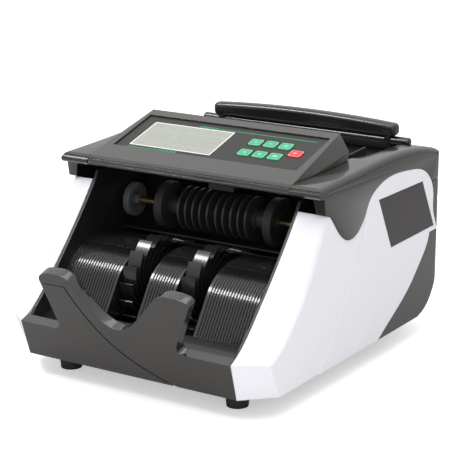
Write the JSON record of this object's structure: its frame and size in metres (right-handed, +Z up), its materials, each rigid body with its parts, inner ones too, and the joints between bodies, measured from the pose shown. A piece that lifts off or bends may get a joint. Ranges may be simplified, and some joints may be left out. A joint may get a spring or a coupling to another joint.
{
  "type": "banknote counter",
  "caption": "Desktop banknote counter with counterfeit detection: rear hopper, sloping console and a front stacking bay with finger wheels.",
  "frame": {"origin": "middle of the overall width and depth, at table height under the rubber feet", "axes": "+X to the operator's right, +Y towards the back of the machine, +Z up"},
  "size_m": [0.245, 0.3135, 0.1886],
  "materials": {
    "dark_shell": "satin dark grey moulding",
    "white_shell": "gloss white moulding",
    "black_frame": "matt black",
    "black_gloss": "gloss black",
    "overlay": "printed satin film",
    "screen": "light grey display glass",
    "smoked": "smoked window",
    "green_key": "mint green key cap",
    "red_key": "red key cap",
    "rubber": "black rubber",
    "grey_plastic": "grey moulding",
    "steel": "ground steel",
    "bronze": "sintered bushes",
    "zinc": "zinc-plated",
    "board": "circuit board",
    "core": "laminated core",
    "sensor": "red lens",
    "lamp": "dark violet glass",
    "belt": "belt rubber",
    "wheel": "flexible black plastic"
  },
  "bodies": {
    "housing": {"base_tray": "zinc", "rubber_feet": "rubber", "case_screws": "zinc", "front_cover": "dark_shell", "right_side_panel": "white_shell", "left_side_panel": "white_shell", "upper_cover": "dark_shell", "rear_cover": "dark_shell", "right_side_frame": "black_frame", "left_side_frame": "black_frame", "shaft_bushes": "bronze", "side_display_window": "smoked", "side_display_board": "board", "console_housing": "dark_shell", "console_overlay": "overlay", "screen_window": "screen", "screen_module": "grey_plastic", "console_board": "board", "hopper_floor": "black_gloss", "hinge_rod": "black_gloss", "stacker_guide": "black_gloss", "stripper_clips": "steel", "rear_guide": "black_frame", "note_sensors": "sensor", "uv_lamp": "lamp", "separator": "black_frame", "separator_pad": "rubber", "feed_motor": "steel", "stack_motor": "steel", "drive_belts": "belt", "transformer": "core", "main_board": "board", "power_inlet": "black_frame", "power_switch_frame": "black_frame"},
    "feed": {"feed_shaft": "steel", "feed_drum": "black_frame", "feed_tyres": "rubber", "end_rollers": "grey_plastic", "feed_pulleys": "grey_plastic"},
    "pickup": {"pickup_shaft": "steel", "pickup_rollers": "rubber", "pickup_pulley": "grey_plastic"},
    "pinch": {"pinch_rollers": "rubber"},
    "feed_rotor": {"feed_motor_pulley": "grey_plastic"},
    "stacker": {"stack_shaft": "steel", "left_stacker_wheel": "wheel", "right_stacker_wheel": "wheel", "stack_pulley": "grey_plastic"},
    "stack_rotor": {"stack_motor_pulley": "grey_plastic"},
    "support": {"note_support": "black_gloss"},
    "right_guide": {"right_note_guide": "black_frame"},
    "left_guide": {"left_note_guide": "black_frame"},
    "rocker": {"power_rocker": "black_gloss"},
    "green_key_1": {"green_key_1": "green_key"},
    "green_key_2": {"green_key_2": "green_key"},
    "green_key_3": {"green_key_3": "green_key"},
    "green_key_4": {"green_key_4": "green_key"},
    "green_key_5": {"green_key_5": "green_key"},
    "green_key_6": {"green_key_6": "green_key"},
    "red_key": {"red_key": "red_key"}
  },
  "joints": [
    {"name": "feed_turn", "type": "hinge", "parent": "housing", "child": "feed", "pos_m": [0, 0.0037, 0.1169], "axis": [-1, 0, 0], "continuous": true},
    {"name": "pickup_turn", "type": "hinge", "parent": "housing", "child": "pickup", "pos_m": [0, 0.0597, 0.139], "axis": [-1, 0, 0], "continuous": true},
    {"name": "pinch_turn", "type": "hinge", "parent": "housing", "child": "pinch", "pos_m": [0, 0.02594, 0.10133], "axis": [-1, 0, 0], "continuous": true},
    {"name": "feed_motor_turn", "type": "hinge", "parent": "housing", "child": "feed_rotor", "pos_m": [0, 0.0757, 0.062], "axis": [-1, 0, 0], "continuous": true},
    {"name": "stacker_turn", "type": "hinge", "parent": "housing", "child": "stacker", "pos_m": [0, -0.0463, 0.0635], "axis": [1, 0, 0], "continuous": true},
    {"name": "stack_motor_turn", "type": "hinge", "parent": "housing", "child": "stack_rotor", "pos_m": [0, 0.0217, 0.048], "axis": [1, 0, 0], "continuous": true},
    {"name": "support_fold", "type": "hinge", "parent": "housing", "child": "support", "pos_m": [0, 0.1337, 0.1642], "axis": [1, 0, 0], "range_deg": [0, 85]},
    {"name": "right_guide_slide", "type": "slide", "parent": "housing", "child": "right_guide", "axis": [-1, 0, 0], "range_m": [0, 0.02]},
    {"name": "left_guide_slide", "type": "slide", "parent": "housing", "child": "left_guide", "axis": [1, 0, 0], "range_m": [0, 0.02]},
    {"name": "mains_rocker", "type": "hinge", "parent": "housing", "child": "rocker", "pos_m": [0, 0.1491, 0.0771], "axis": [1, 0, 0], "range_deg": [0, 16]},
    {"name": "green_key_1_press", "type": "slide", "parent": "housing", "child": "green_key_1", "axis": [0, 0.2781, -0.9606], "range_m": [0, 0.0005]},
    {"name": "green_key_2_press", "type": "slide", "parent": "housing", "child": "green_key_2", "axis": [0, 0.2781, -0.9606], "range_m": [0, 0.0005]},
    {"name": "green_key_3_press", "type": "slide", "parent": "housing", "child": "green_key_3", "axis": [0, 0.2781, -0.9606], "range_m": [0, 0.0005]},
    {"name": "green_key_4_press", "type": "slide", "parent": "housing", "child": "green_key_4", "axis": [0, 0.2781, -0.9606], "range_m": [0, 0.0005]},
    {"name": "green_key_5_press", "type": "slide", "parent": "housing", "child": "green_key_5", "axis": [0, 0.2781, -0.9606], "range_m": [0, 0.0005]},
    {"name": "green_key_6_press", "type": "slide", "parent": "housing", "child": "green_key_6", "axis": [0, 0.2781, -0.9606], "range_m": [0, 0.0005]},
    {"name": "red_key_press", "type": "slide", "parent": "housing", "child": "red_key", "axis": [0, 0.2781, -0.9606], "range_m": [0, 0.0005]}
  ],
  "couplings": [
    {"joint": "pickup_turn", "follows": "feed_turn", "ratio": 1},
    {"joint": "pinch_turn", "follows": "feed_turn", "ratio": -2.8571},
    {"joint": "feed_motor_turn", "follows": "feed_turn", "ratio": 1.5},
    {"joint": "stack_motor_turn", "follows": "stacker_turn", "ratio": 1.75},
    {"joint": "left_guide_slide", "follows": "right_guide_slide", "ratio": 1}
  ]
}
